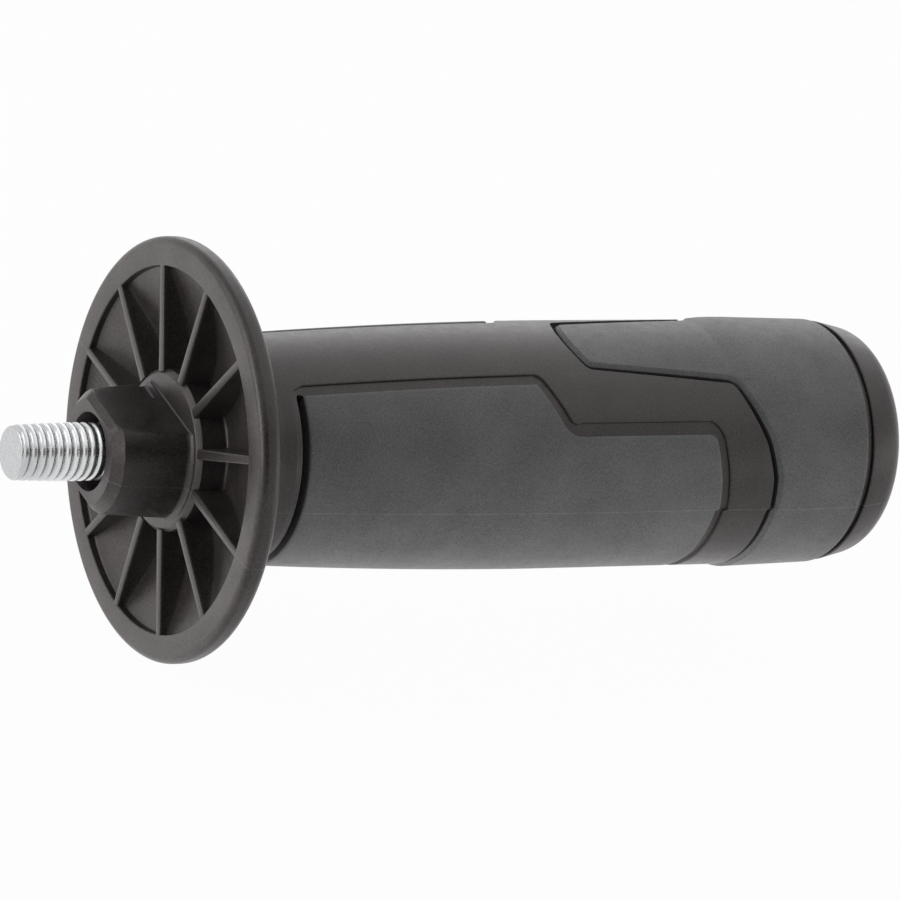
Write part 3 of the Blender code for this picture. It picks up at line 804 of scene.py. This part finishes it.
def sleeve_skin():
    """The end sleeve's unrolled points and quads: the tongue, and the ring that goes all round."""
    curve = sleeve_edge()[::-1]
    root_mark = nearest(curve, (TONGUE_ROOT, arc_of(TONGUE_ROOT_ANGLE)))
    tip_mark = nearest(curve, (TONGUE_TIP + TONGUE_TIP_SLANT, arc_of(TONGUE_TIP_ANGLE)))
    edge, (root, corner) = refined(curve, [root_mark, tip_mark])
    sides = edge_sides(edge)
    tongue = corner_rows(edge[root:], [(0.0, -1.0)] + sides[root + 1:], corner - root, LIP_ROWS)
    width = len(tongue[0]) - 1
    end = CAP_START - CAP_GROOVE
    rows = []
    for inset in LIP_ROWS:
        row = [(x + inset, y) for x, y in tongue[0][::-1]]
        row += [(edge[i][0] + inset / sides[i][0], edge[i][1]) for i in range(root - 1, -1, -1)]
        rows.append(row)
    tail = [[(end - inset, y) for _, y in row] for inset in reversed(PALM_ROWS)]
    for k in range(1, 10):
        rows.append([blend(a, b, k / 10) for a, b in zip(rows[len(LIP_ROWS) - 1], tail[0])])
    rows += tail
    points = []
    ring = []
    for row in rows:
        round_row = [row[-1]] + [(x, -y) for x, y in row[-2:0:-1]] + row[:-1]
        numbers = numbered(points, round_row)
        ring.append(numbers + numbers[:1])
    names = [numbered(points, [(x, -y) for x, y in row] + row[-2::-1]) for row in tongue[:0:-1]]
    top = len(rows[0]) - 1
    names.append(ring[0][top - width:top + width + 1])
    return points, grid_quads(names) + grid_quads(ring)


def soft_grip(name, points, quads, surface):
    """A soft overmould with this surface, a radius at (x, y), closed by walls and an underside."""
    bm = bmesh.new()
    outer = wrapped(points, surface)
    inner = wrapped(points, lambda x, y: core_radius(x) - SOFT_THICKNESS)
    once = {}
    for quad in quads:
        for a, b in zip(quad, quad[1:] + quad[:1]):
            if (b, a) in once:
                del once[b, a]
            else:
                once[a, b] = True
    top = [bm.verts.new(point) for point in outer]
    low = [bm.verts.new(point) for point in inner]
    for quad in quads:
        bm.faces.new([top[i] for i in quad])
        bm.faces.new([low[i] for i in quad])
    for a, b in once:
        bm.faces.new((low[a], low[b], top[b], top[a]))
    return mesh_object(name, bm, 50.0)


def make_palm_pad():
    points, quads = palm_skin()
    rim = palm_edge()

    def surface(x, y):
        return core_radius(x) - edge_drop(x, y, rim, PANEL_EDGE_ROUND, PANEL_EDGE_DROP)

    return soft_grip("palm_pad", points, quads, surface)


def make_end_sleeve():
    points, quads = sleeve_skin()
    lip = sleeve_edge()
    tail = [(CAP_START - CAP_GROOVE, 0.0), (CAP_START - CAP_GROOVE, arc_of(180.0))]

    def surface(x, y):
        down = max(lip_drop(x, y, lip), edge_drop(x, y, tail, PANEL_EDGE_ROUND, PANEL_EDGE_DROP))
        return sleeve_radius(x) - down

    return soft_grip("end_sleeve", points, quads, surface)


# Geometry Nodes for what repeats and what follows a rule

def new_tree(name, inputs):
    """A Geometry Nodes tree with a geometry input, named number inputs and a geometry output."""
    tree = bpy.data.node_groups.new(name, "GeometryNodeTree")
    tree.interface.new_socket("Geometry", in_out="INPUT", socket_type="NodeSocketGeometry")
    for label, value in inputs:
        kind = "NodeSocketMaterial" if value is None else "NodeSocketFloat"
        socket = tree.interface.new_socket(label, in_out="INPUT", socket_type=kind)
        if value is not None:
            socket.default_value = value
    tree.interface.new_socket("Geometry", in_out="OUTPUT", socket_type="NodeSocketGeometry")
    return tree, tree.nodes.new("NodeGroupInput"), tree.nodes.new("NodeGroupOutput")


def maths(tree, operation, *values):
    """A Math node. Each value is a number or a socket. Gives its output socket."""
    node = tree.nodes.new("ShaderNodeMath")
    node.operation = operation
    for place, value in enumerate(values):
        if isinstance(value, (int, float)):
            node.inputs[place].default_value = value
        else:
            tree.links.new(value, node.inputs[place])
    return node.outputs[0]


def run_tree(made, tree, values):
    """Adds the tree to an object, sets its inputs by identifier and keeps the plain result."""
    modifier = made.modifiers.new(tree.name, "NODES")
    modifier.node_group = tree
    for item in tree.interface.items_tree:
        if item.in_out == "INPUT" and item.name in values:
            modifier[item.identifier] = values[item.name]
    plain_mesh(made)


def end_tree(tree, given, shape, result):
    """Makes a shape's instances real, gives it the finish and sends it out of the tree."""
    link = tree.links.new
    real = tree.nodes.new("GeometryNodeRealizeInstances")
    finish = tree.nodes.new("GeometryNodeSetMaterial")
    link(shape, real.inputs[0])
    link(real.outputs[0], finish.inputs[0])
    link(given.outputs["Finish"], finish.inputs["Material"])
    link(finish.outputs[0], result.inputs[0])


def thread_tree():
    """Turns a flat grid, rows along the stud and columns round it, into a threaded shank."""
    tree, given, result = new_tree("stud thread", [
        ("Reach", STUD_REACH * MM),
        ("Length", STUD_SHOWN * MM),
        ("Radius", THREAD_DIAMETER / 2 * MM),
        ("Pitch", THREAD_PITCH * MM),
        ("Depth", THREAD_DEPTH * MM),
        ("Tip chamfer", STUD_TIP_CHAMFER * MM),
        ("Lead", THREAD_LEAD * MM),
        ("Lead drop", THREAD_LEAD_DROP * MM),
        ("Finish", None),
    ])
    calc = partial(maths, tree)
    link = tree.links.new
    size = given.outputs
    grid = tree.nodes.new("GeometryNodeMeshGrid")
    grid.inputs["Size X"].default_value = 1.0
    grid.inputs["Size Y"].default_value = 1.0
    grid.inputs["Vertices X"].default_value = STUD_COLUMNS
    grid.inputs["Vertices Y"].default_value = STUD_ROWS
    position = tree.nodes.new("GeometryNodeInputPosition")
    split = tree.nodes.new("ShaderNodeSeparateXYZ")
    link(position.outputs[0], split.inputs[0])
    round_share = calc("ADD", split.outputs[0], 0.5)
    row = calc("MULTIPLY", calc("ADD", split.outputs[1], 0.5), STUD_ROWS - 1)
    row = calc("ROUND", row)
    # The first and the last row are drawn in to the axis and close the ends
    along = calc("DIVIDE", calc("SUBTRACT", row, 1.0), STUD_ROWS - 3)
    along = calc("MINIMUM", calc("MAXIMUM", along, 0.0), 1.0)
    from_tip = calc("MULTIPLY", along, size["Length"])
    place = calc("SUBTRACT", from_tip, size["Reach"])
    turns = calc("SUBTRACT", calc("DIVIDE", place, size["Pitch"]), round_share)
    wave = calc("COSINE", calc("MULTIPLY", calc("FRACT", turns), 2 * math.pi))
    cut = calc("POWER", calc("DIVIDE", calc("ADD", wave, 1.0), 2.0), THREAD_ROOT_POWER)
    lead = calc("SUBTRACT", 1.0, calc("DIVIDE", from_tip, size["Lead"]))
    lead = calc("MULTIPLY", calc("MAXIMUM", lead, 0.0), size["Lead drop"])
    crest = calc("SUBTRACT", size["Radius"], lead)
    radius = calc("SUBTRACT", crest, calc("MULTIPLY", cut, size["Depth"]))
    tip = calc("SUBTRACT", size["Radius"], size["Tip chamfer"])
    radius = calc("MINIMUM", radius, calc("ADD", tip, from_tip))
    inside = calc("GREATER_THAN", row, 0.5)
    inside = calc("MULTIPLY", inside, calc("LESS_THAN", row, STUD_ROWS - 1.5))
    radius = calc("MULTIPLY", radius, inside)
    angle = calc("MULTIPLY", round_share, 2 * math.pi)
    joined = tree.nodes.new("ShaderNodeCombineXYZ")
    link(place, joined.inputs[0])
    link(calc("MULTIPLY", radius, calc("SINE", angle)), joined.inputs[1])
    link(calc("MULTIPLY", radius, calc("COSINE", angle)), joined.inputs[2])
    shape = tree.nodes.new("GeometryNodeSetPosition")
    link(grid.outputs["Mesh"], shape.inputs["Geometry"])
    link(joined.outputs[0], shape.inputs["Position"])
    merge = tree.nodes.new("GeometryNodeMergeByDistance")
    merge.inputs["Distance"].default_value = 1e-6
    smooth = tree.nodes.new("GeometryNodeSetShadeSmooth")
    link(shape.outputs[0], merge.inputs[0])
    link(merge.outputs[0], smooth.inputs[0])
    end_tree(tree, given, smooth.outputs[0], result)
    return tree


def make_stud(finish):
    stud = in_scene("stud_thread", bpy.data.meshes.new("stud_thread"))
    run_tree(stud, thread_tree(), {"Finish": finish})
    bm = bmesh.new()
    bm.from_mesh(stud.data)
    bmesh.ops.recalc_face_normals(bm, faces=bm.faces)
    bm.to_mesh(stud.data)
    bm.free()
    stud.data.set_sharp_from_angle(angle=math.radians(24.0))
    return stud


def one_rib():
    """The rib at the top of the flange: a thin plate with a rounded edge, from collar to rim."""
    bm = bmesh.new()
    inner = COLLAR_RADIUS - RIB_OVERLAP
    outer = RIM_INSIDE + RIB_OVERLAP
    front = FLANGE_FRONT + RIB_SETBACK
    rows = []
    for i in range(13):
        radius = inner + (outer - inner) * i / 12
        half = (RIB_ROOT_THICKNESS + (RIB_TIP_THICKNESS - RIB_ROOT_THICKNESS) * i / 12) / 2
        foot = pocket_floor(min(max(radius, COLLAR_RADIUS), RIM_INSIDE)) + 0.3
        section = [
            (foot, -half - 0.30),
            (foot - 0.42, -half - 0.14),
            (foot - 0.62, -half - 0.03),
            (min(foot - 0.7, front + 0.6), -half),
            (front + 0.16, -half + 0.02),
            (front + 0.06, -half + 0.07),
            (front, -half + 0.18),
        ]
        section += [(x, -y) for x, y in section[::-1]]
        rows.append([bm.verts.new((x * MM, y * MM, radius * MM)) for x, y in section])
    ring_faces(bm, rows)
    bm.faces.new(rows[0])
    bm.faces.new(rows[-1])
    return mesh_object("flange_ribs", bm, 60.0)


def rib_tree():
    """Repeats the object's own mesh evenly round the handle's axis."""
    inputs = [("Count", float(RIB_COUNT)), ("Finish", None)]
    tree, given, result = new_tree("ribs round the collar", inputs)
    link = tree.links.new
    points = tree.nodes.new("GeometryNodePoints")
    link(given.outputs["Count"], points.inputs["Count"])
    index = tree.nodes.new("GeometryNodeInputIndex")
    turn = maths(tree, "MULTIPLY", index.outputs[0], 2 * math.pi)
    turn = maths(tree, "DIVIDE", turn, given.outputs["Count"])
    rotation = tree.nodes.new("ShaderNodeCombineXYZ")
    link(turn, rotation.inputs[0])
    place = tree.nodes.new("GeometryNodeInstanceOnPoints")
    link(points.outputs[0], place.inputs["Points"])
    link(given.outputs["Geometry"], place.inputs["Instance"])
    link(rotation.outputs[0], place.inputs["Rotation"])
    end_tree(tree, given, place.outputs[0], result)
    return tree


def make_ribs(finish):
    ribs = one_rib()
    run_tree(ribs, rib_tree(), {"Finish": finish})
    return ribs


# Finishes

def new_finish(name, colour, roughness, metallic=0.0):
    """A Principled material, its node tree and shader, ready for detail."""
    made = bpy.data.materials.new(name)
    made.use_nodes = True
    shader = made.node_tree.nodes["Principled BSDF"]
    shader.inputs["Base Color"].default_value = (*colour, 1.0)
    shader.inputs["Roughness"].default_value = roughness
    shader.inputs["Metallic"].default_value = metallic
    made.diffuse_color = (*colour, 1.0)
    return made, made.node_tree, shader


def noise(tree, size_mm, detail=2.0, roughness=0.5):
    """Noise in object coordinates whose lumps are about size_mm across."""
    where = tree.nodes.new("ShaderNodeTexCoord")
    node = tree.nodes.new("ShaderNodeTexNoise")
    node.inputs["Scale"].default_value = 1.0 / (size_mm * MM)
    node.inputs["Detail"].default_value = detail
    node.inputs["Roughness"].default_value = roughness
    tree.links.new(where.outputs["Object"], node.inputs["Vector"])
    return node.outputs["Fac"]


def spread(tree, value, low, high, start=0.3, end=0.7):
    """Maps a value's range onto low to high."""
    node = tree.nodes.new("ShaderNodeMapRange")
    node.inputs["From Min"].default_value = start
    node.inputs["From Max"].default_value = end
    node.inputs["To Min"].default_value = low
    node.inputs["To Max"].default_value = high
    tree.links.new(value, node.inputs["Value"])
    return node.outputs["Result"]


def tinted(tree, share, dark, light, under=None):
    """Mixes two colours by a share. A colour socket given as under stands in for the first."""
    node = tree.nodes.new("ShaderNodeMix")
    node.data_type = "RGBA"
    node.inputs[7].default_value = (*light, 1.0)
    if under:
        tree.links.new(under, node.inputs[6])
    else:
        node.inputs[6].default_value = (*dark, 1.0)
    tree.links.new(share, node.inputs[0])
    return node.outputs[2]


def object_place(tree):
    """The x, y and z outputs of a point's place in the handle's frame."""
    where = tree.nodes.new("ShaderNodeTexCoord")
    split = tree.nodes.new("ShaderNodeSeparateXYZ")
    tree.links.new(where.outputs["Object"], split.inputs[0])
    return split.outputs


def parting_line(tree, width_mm):
    """1 on the fine line where the mould's halves met, along the handle's sides, and 0 off it."""
    height = maths(tree, "ABSOLUTE", object_place(tree)[2])
    off = maths(tree, "DIVIDE", height, width_mm * MM)
    return maths(tree, "MAXIMUM", maths(tree, "SUBTRACT", 1.0, off), 0.0)


def grained(tree, shader, height, distance_mm, strength):
    bump = tree.nodes.new("ShaderNodeBump")
    bump.inputs["Strength"].default_value = strength
    bump.inputs["Distance"].default_value = distance_mm * MM
    tree.links.new(height, bump.inputs["Height"])
    tree.links.new(bump.outputs["Normal"], shader.inputs["Normal"])


def moulded(tree, shader, speck, shades, seam, seam_highlight_colour, gloss, grain):
    """Gives a moulded surface its speckle, its grain and the line where the mould's halves met.

    The line is a real fine ridge in the bump, and its lighter colour is a painted highlight for the
    light that the ridge catches. Sizes are in mm: speck (share, size of the mottle), seam (width,
    least and most share of the painted highlight, height), gloss (size of its patches, least and
    most roughness), grain (size, strength).
    """
    calc = partial(maths, tree)
    fine = calc("MULTIPLY", noise(tree, 0.24, 1.0), speck[0])
    mottle = calc("ADD", fine, calc("MULTIPLY", noise(tree, speck[1], 3.0), 1 - speck[0]))
    plain = tinted(tree, spread(tree, mottle, 0.0, 1.0, 0.34, 0.66), *shades)
    width, least, most, height = seam
    # The parting line's lighter colour is a painted highlight, for the light that its fine ridge
    # catches
    painted_seam_share = calc("MULTIPLY", parting_line(tree, width), spread(tree, noise(tree, 2.0), least, most))
    tree.links.new(tinted(tree, painted_seam_share, None, seam_highlight_colour, plain), shader.inputs["Base Color"])
    patches = spread(tree, noise(tree, gloss[0], 3.0), gloss[1], gloss[2])
    tree.links.new(patches, shader.inputs["Roughness"])
    rough = calc("ADD", noise(tree, grain[0], 1.0), calc("MULTIPLY", noise(tree, 0.6, 1.0), 0.6))
    rough = calc("ADD", rough, calc("MULTIPLY", parting_line(tree, width), height))
    grained(tree, shader, rough, 0.035, grain[1])


def black_plastic():
    """Glass-filled nylon with the fine matt grain of a spark-eroded mould."""
    made, tree, shader = new_finish("black_moulding", (0.0245, 0.0205, 0.0205), 0.32)
    shader.inputs["Specular IOR Level"].default_value = 0.42
    shader.inputs["Specular Tint"].default_value = (1.0, 0.93, 0.93, 1.0)
    moulded(
        tree, shader,
        speck=(0.7, 5.0),
        shades=((0.008, 0.0065, 0.0065), (0.043, 0.0355, 0.0355)),
        seam=(0.13, 0.25, 0.85, 1.6),
        # Painted highlight: the lighter colour of the parting line
        seam_highlight_colour=(0.085, 0.078, 0.076),
        gloss=(1.2, 0.28, 0.37),
        grain=(0.22, 0.5),
    )
    return made


def grey_rubber():
    """Soft elastomer with a fine velvety grain."""
    made, tree, shader = new_finish("grey_soft_grip", (0.085, 0.085, 0.087), 0.46)
    moulded(
        tree, shader,
        speck=(0.6, 8.0),
        shades=((0.047, 0.047, 0.048), (0.123, 0.123, 0.126)),
        seam=(0.12, 0.2, 0.7, 1.2),
        # Painted highlight: the lighter colour of the parting line
        seam_highlight_colour=(0.21, 0.21, 0.21),
        gloss=(1.6, 0.42, 0.51),
        grain=(0.24, 0.55),
    )
    return made


def zinc_plate():
    """Bright zinc on steel, with painted shade in the thread's roots and on the tip face."""
    made, tree, shader = new_finish("zinc_plated_steel", (0.72, 0.73, 0.74), 0.27, 1.0)
    calc = partial(maths, tree)
    along, aside, above = object_place(tree)
    radius = calc("SQRT", calc("ADD", calc("POWER", aside, 2.0), calc("POWER", above, 2.0)))
    root = (THREAD_DIAMETER / 2 - THREAD_DEPTH) * MM
    # Painted shade: the zinc is darker towards the thread's roots, by distance from the axis, where
    # shade falls between the crests
    crest = spread(tree, radius, 0.0, 1.0, root, THREAD_DIAMETER / 2 * MM)
    crest_unshaded = calc("MULTIPLY", crest, spread(tree, noise(tree, 2.5, 4.0), 0.75, 1.0))
    root_shade_colour = tinted(tree, crest_unshaded, (0.5, 0.505, 0.51), (0.76, 0.77, 0.78))
    # Painted shade: the tip face is given a darker zinc, to tone down the side lamp's highlight on
    # it
    tip = calc("LESS_THAN", along, (0.02 - STUD_REACH) * MM)
    tree.links.new(tinted(tree, tip, None, (0.42, 0.43, 0.435), root_shade_colour), shader.inputs["Base Color"])
    patches = spread(tree, noise(tree, 0.7, 4.0, 0.6), 0.22, 0.34)
    tree.links.new(patches, shader.inputs["Roughness"])
    grained(tree, shader, noise(tree, 0.12, 3.0), 0.006, 0.5)
    return made


def plain_light(tree, seen, lit):
    """A value that is seen for rays from the camera or a mirror, and lit for all others."""
    paths = tree.nodes.new("ShaderNodeLightPath").outputs
    direct = maths(tree, "MAXIMUM", paths["Is Camera Ray"], paths["Is Glossy Ray"])
    direct = maths(tree, "MAXIMUM", direct, paths["Is Transmission Ray"])
    return spread(tree, direct, lit, seen, 0.0, 1.0)


def empty_material(name):
    made = bpy.data.materials.new(name)
    made.use_nodes = True
    made.node_tree.nodes.clear()
    return made, made.node_tree


def floor_white():
    """White ground. The camera and reflections see it nearly white, with a soft shadow left."""
    made, tree = empty_material("pale_ground")
    link = tree.links.new
    diffuse = tree.nodes.new("ShaderNodeBsdfDiffuse")
    diffuse.inputs["Color"].default_value = (0.92, 0.92, 0.92, 1.0)
    glow = tree.nodes.new("ShaderNodeEmission")
    glow.inputs["Strength"].default_value = 1.0
    mix = tree.nodes.new("ShaderNodeMixShader")
    link(plain_light(tree, GROUND_GLOW, 0.0), mix.inputs[0])
    link(diffuse.outputs[0], mix.inputs[1])
    link(glow.outputs[0], mix.inputs[2])
    output = tree.nodes.new("ShaderNodeOutputMaterial")
    link(mix.outputs[0], output.inputs[0])
    return made


# Setting: ground, light and camera

def picture_axes():
    """The way to the camera, square to the handle, and the picture's up before its small roll."""
    roll = math.radians(GRIP_ROLL)
    near = Vector((0.0, -math.sin(roll), math.cos(roll)))
    return near, Vector((0.0, math.cos(roll), math.sin(roll)))


def make_camera():
    near, upright = picture_axes()
    turn = math.radians(CAMERA_TURN)
    roll = math.radians(CAMERA_ROLL)
    along = Vector((1.0, 0.0, 0.0))
    back = near * math.cos(turn) - along * math.sin(turn)
    level = along * math.cos(turn) + near * math.sin(turn)
    right = level * math.cos(roll) - upright * math.sin(roll)
    up = level * math.sin(roll) + upright * math.cos(roll)
    scale = CAMERA_DISTANCE / FOCAL_PIXELS
    aside = (AIM_PIXEL[0] - FRAME_PIXELS / 2) * scale
    above = -(AIM_PIXEL[1] - FRAME_PIXELS / 2) * scale
    place = along * AIM_PLACE - right * aside - up * above + back * CAMERA_DISTANCE
    data = bpy.data.cameras.new("camera")
    data.sensor_width = 36.0
    data.lens = FOCAL_PIXELS * data.sensor_width / FRAME_PIXELS
    data.clip_start = 0.05
    data.clip_end = 20.0
    camera = in_scene("camera", data)
    facing = Matrix((right, up, back)).transposed().to_4x4()
    camera.matrix_world = Matrix.Translation(place * MM) @ facing
    bpy.context.scene.camera = camera


def picture_way(aside, above, nearer):
    """A direction in the handle's frame, from its parts along the grip, up the picture and out."""
    near, up = picture_axes()
    return Vector((aside, 0.0, 0.0)) + up * above + near * nearer


def sheet(name, corners, material):
    """A flat sheet with four corners in metres."""
    bm = bmesh.new()
    bm.faces.new([bm.verts.new(corner) for corner in corners])
    mesh = bpy.data.meshes.new(name)
    bm.to_mesh(mesh)
    bm.free()
    mesh.materials.append(material)
    made = in_scene(name, mesh)
    made.visible_shadow = False
    made.visible_diffuse = False
    return made


def dim_card():
    """A dim strip before the stud, seen only in reflections, as a studio's dark side is."""
    near, up = picture_axes()
    middle = Vector((CARD_PLACE, 0.0, 0.0)) + near * CARD_DISTANCE
    along = Vector((CARD_WIDTH / 2, 0.0, 0.0))
    across = up * (CARD_HEIGHT / 2)
    low = [(middle - along - across) * MM, (middle + along - across) * MM]
    high = [(middle + along + across) * MM, (middle - along + across) * MM]
    material, tree = empty_material("dim_card")
    glow = tree.nodes.new("ShaderNodeEmission")
    glow.inputs["Color"].default_value = (0.08, 0.07, 0.066, 1.0)
    output = tree.nodes.new("ShaderNodeOutputMaterial")
    tree.links.new(glow.outputs[0], output.inputs[0])
    card = sheet("dim_card", low + high, material)
    card.visible_camera = False


def soft_box(name, direction, watts):
    """A square area light that faces the handle's middle from a direction."""
    data = bpy.data.lights.new(name, "AREA")
    data.shape = "RECTANGLE"
    data.size = LAMP_SIZE
    data.size_y = LAMP_SIZE
    data.energy = watts
    light = in_scene(name, data)
    away = direction.normalized()
    light.location = Vector((AIM_PLACE * MM, 0.0, 0.0)) + away * LAMP_DISTANCE
    light.rotation_mode = "QUATERNION"
    light.rotation_quaternion = (-away).to_track_quat("-Z", "Y")


def set_the_stage():
    scene = bpy.context.scene
    scene.view_settings.view_transform = "Standard"
    world = bpy.data.worlds.new("studio")
    scene.world = world
    world.use_nodes = True
    tree = world.node_tree
    tree.nodes.clear()
    background = tree.nodes.new("ShaderNodeBackground")
    background.inputs["Color"].default_value = (1.0, 1.0, 1.0, 1.0)
    tree.links.new(plain_light(tree, 1.0, DAYLIGHT), background.inputs["Strength"])
    output = tree.nodes.new("ShaderNodeOutputWorld")
    tree.links.new(background.outputs[0], output.inputs[0])
    far = GROUND_REACH
    level = -(FLANGE_RADIUS + GROUND_GAP) * MM
    corners = ((-far, -far, level), (far, -far, level), (far, far, level), (-far, far, level))
    ground = sheet("ground", corners, floor_white())
    dim_card()
    for name, aside, above, nearer, watts in LAMPS:
        soft_box(name, picture_way(aside, above, nearer), watts)


def main():
    black = black_plastic()
    grey = grey_rubber()
    zinc = zinc_plate()
    body = [make_grip_core(), make_core_floor(), make_end_cap(), make_flange(), make_boss()]
    body.append(make_ribs(black))
    for piece in body:
        piece.data.materials.clear()
        piece.data.materials.append(black)
        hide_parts("handle_body")
    palm = make_palm_pad()
    sleeve = make_end_sleeve()
    for piece, node in ((palm, "palm_grip_panel"), (sleeve, "end_grip_sleeve")):
        piece.data.materials.append(grey)
        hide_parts(node)
    stud = make_stud(zinc)
    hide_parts("threaded_stud")
    for piece in body + [palm, sleeve, stud]:
        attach(piece, "root")
    set_the_stage()
    make_camera()


main()
